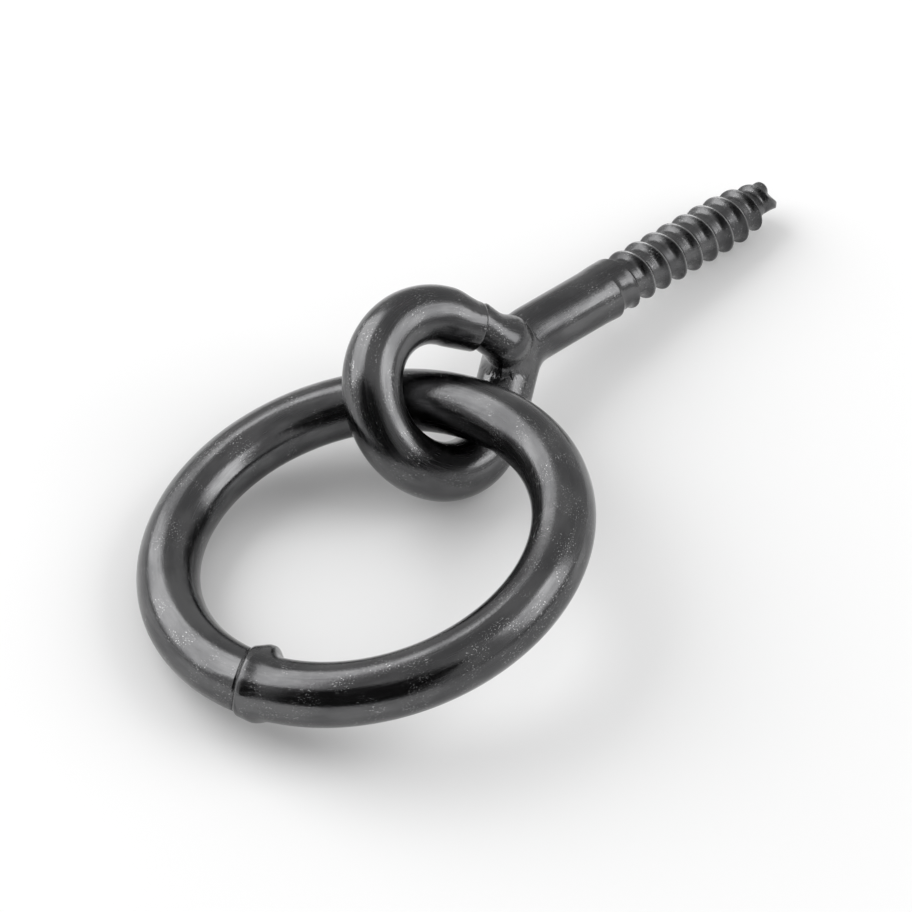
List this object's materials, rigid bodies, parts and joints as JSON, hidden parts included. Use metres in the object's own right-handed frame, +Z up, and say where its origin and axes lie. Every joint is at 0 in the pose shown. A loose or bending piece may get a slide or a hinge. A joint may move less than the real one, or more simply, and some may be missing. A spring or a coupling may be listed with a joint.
{
  "type": "screw eye with ring",
  "caption": "Black steel screw eye with a wood thread and a loose welded ring hanging in its eye, for tying or hooking something to wood.",
  "frame": {"origin": "on the surface that the two pieces lie on, under the middle of the whole part's box", "axes": "+Z up from that surface; +X along the screw's shank seen from above, towards its tip; the screw's axis is in a plane parallel to XZ"},
  "size_m": [0.118, 0.0572, 0.0237],
  "materials": {
    "eye_screw_steel": "black oxide and oil, satin, worn bright on the thread's crests",
    "ring_steel": "black oxide and oil, satin, with fine rubbed specks"
  },
  "bodies": {
    "eye_screw": {"eye_screw": "eye_screw_steel"},
    "ring": {"ring": "ring_steel"}
  },
  "joints": [
    {"name": "ring_swing", "type": "hinge", "parent": "eye_screw", "child": "ring", "pos_m": [-0.00674, 0.01115, 0.01175], "axis": [0.1462, -0.7608, 0.6323], "range_deg": [-160, 80]}
  ]
}
